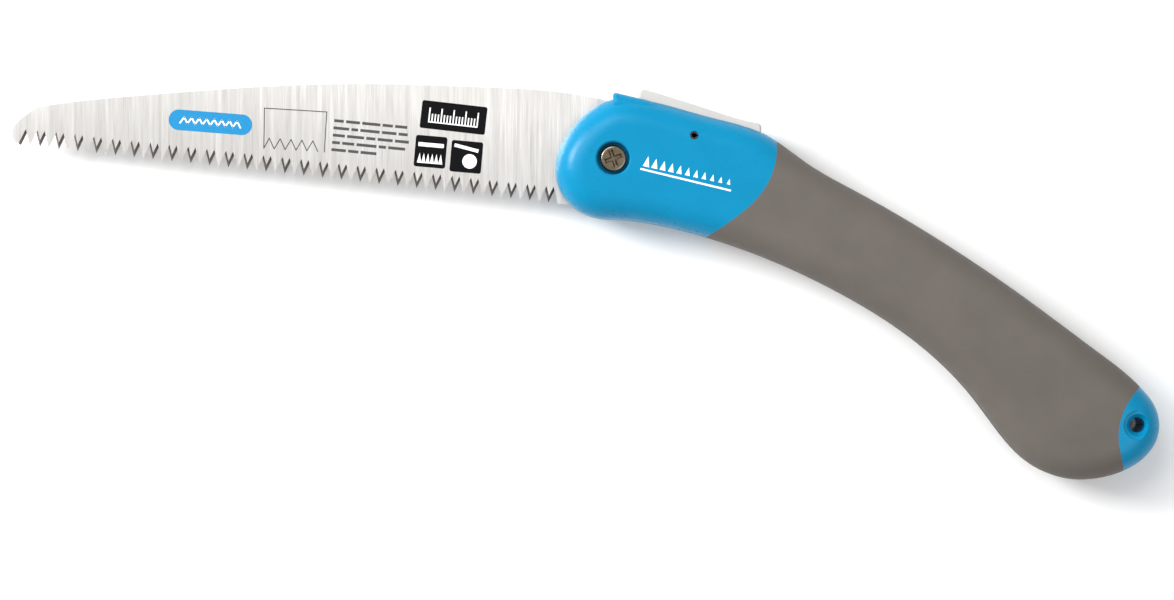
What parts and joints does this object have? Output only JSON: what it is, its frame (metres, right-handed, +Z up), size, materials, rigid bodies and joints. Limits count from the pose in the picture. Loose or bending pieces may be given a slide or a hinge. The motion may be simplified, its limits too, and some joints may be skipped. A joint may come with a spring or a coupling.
{
  "type": "folding pruning saw",
  "caption": "Folding hand saw with a pull-cut toothed blade that pivots into a slotted two-shell handle with rubber grips and a rocker lock lever",
  "frame": {"origin": "centre of the bounding box's base; the saw lies flat on its right side with the blade open", "axes": "+X from the blade's tip towards the handle's end (longest extent), +Y towards the blade's spine, +Z up through the handle's thickness (shortest extent)"},
  "size_m": [0.3778, 0.1304, 0.024],
  "materials": {
    "shell": "glossy moulded",
    "grip": "matte soft-touch",
    "blade": "ground across the blade",
    "bolt": "turned, slightly bronze",
    "hardware": "zinc plated",
    "nylon": "natural nylon",
    "lever": "satin moulded",
    "pin": "dark oxide"
  },
  "bodies": {
    "handle": {"left_shell": "shell", "right_shell": "shell", "left_grip": "grip", "right_grip": "grip", "pivot_bolt": "bolt", "spring_washer": "hardware", "pivot_sleeve": "hardware", "upper_washer": "nylon", "lower_washer": "nylon", "nut_washer": "hardware", "pivot_nut": "hardware", "nut_insert": "nylon", "lever_pin": "pin", "lever_spring": "hardware", "screw_front": "hardware", "screw_middle": "hardware", "screw_rear": "hardware"},
    "blade": {"blade": "blade"},
    "lever": {"lock_lever": "lever", "lock_pawl": "hardware"}
  },
  "joints": [
    {"name": "blade_fold", "type": "hinge", "parent": "handle", "child": "blade", "pos_m": [0.00928, 0.0402, 0.012], "axis": [0, 0, 1], "range_deg": [0, 153]},
    {"name": "lever_rock", "type": "hinge", "parent": "handle", "child": "lever", "pos_m": [0.03567, 0.0477, 0.012], "axis": [0, 0, 1], "range_deg": [0, 7], "stiffness_Nm_per_rad": 0.2, "springref_deg": 28.65, "deforming": ["lever_spring"]}
  ]
}
